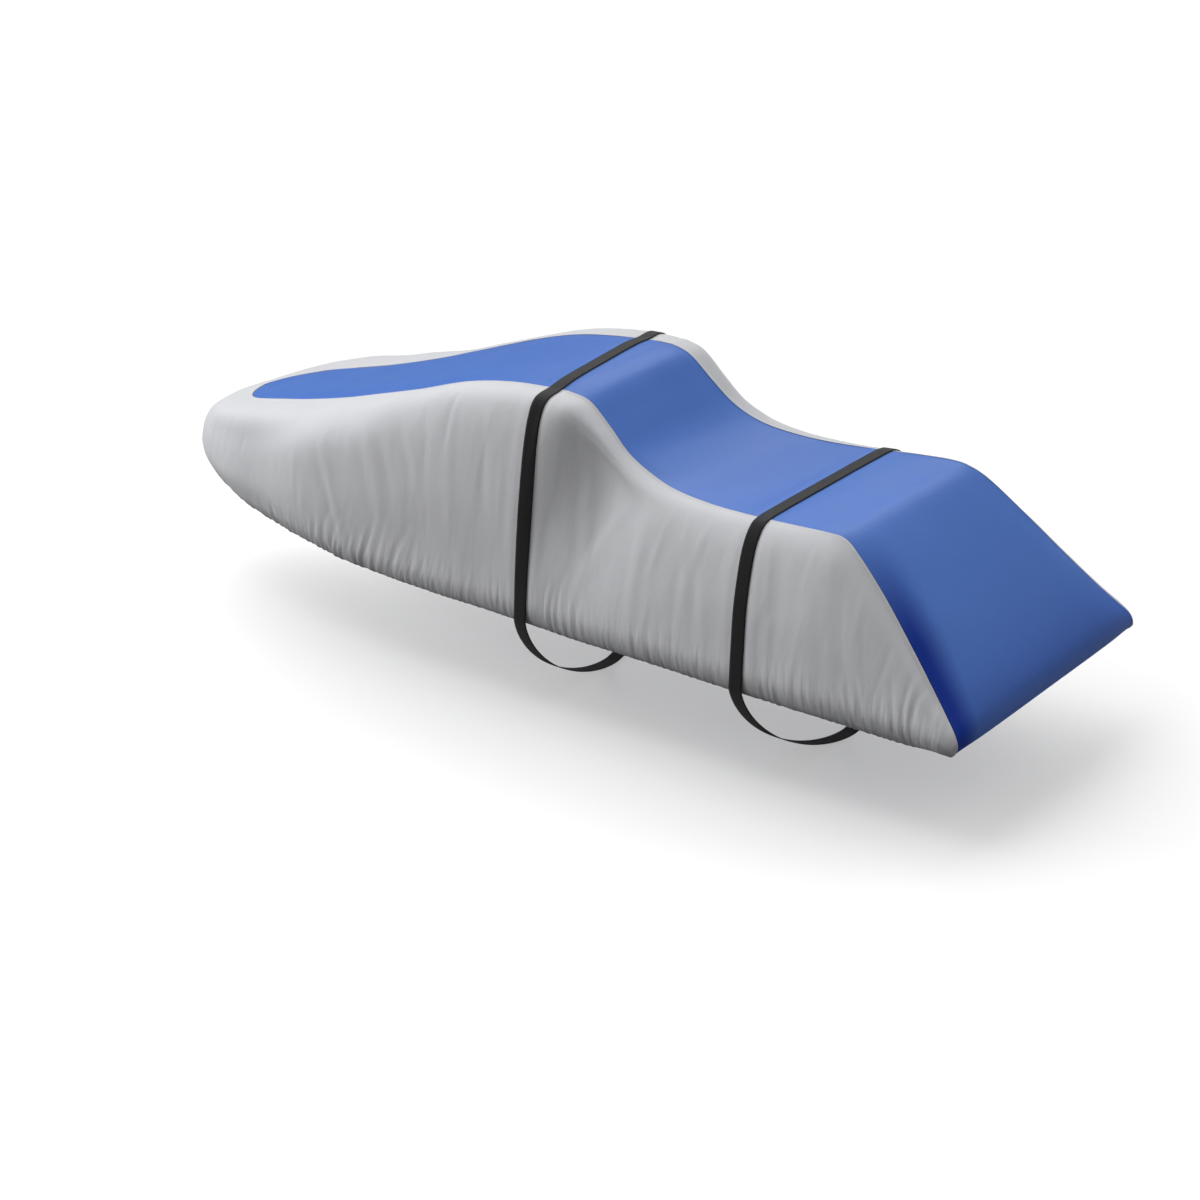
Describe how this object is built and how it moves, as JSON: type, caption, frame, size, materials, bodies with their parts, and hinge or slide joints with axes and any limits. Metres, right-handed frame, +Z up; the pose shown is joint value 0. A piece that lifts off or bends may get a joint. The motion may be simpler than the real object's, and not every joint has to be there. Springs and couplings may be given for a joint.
{
  "type": "personal watercraft cover",
  "caption": "Fitted cloth cover for a personal watercraft, draped over hood, handlebar hump, seat and stern, with a gathered elastic hem and webbing straps round the hull.",
  "frame": {"origin": "underside of the top cloth at the highest point of the handlebar hump, on the centre line, where the craft bears on it", "axes": "+X towards the stern, along the craft; +Y to starboard; +Z up"},
  "size_m": [3.218, 1.1538, 1.0077],
  "materials": {
    "side_fabric": "light grey plain-woven coated polyester, matt",
    "top_fabric": "royal blue plain-woven coated polyester, matt",
    "webbing": "black woven polypropylene webbing, dull"
  },
  "bodies": {
    "root": {"side_cloth": "side_fabric", "top_cloth": "top_fabric", "front_strap": "webbing", "rear_strap": "webbing"}
  },
  "joints": []
}
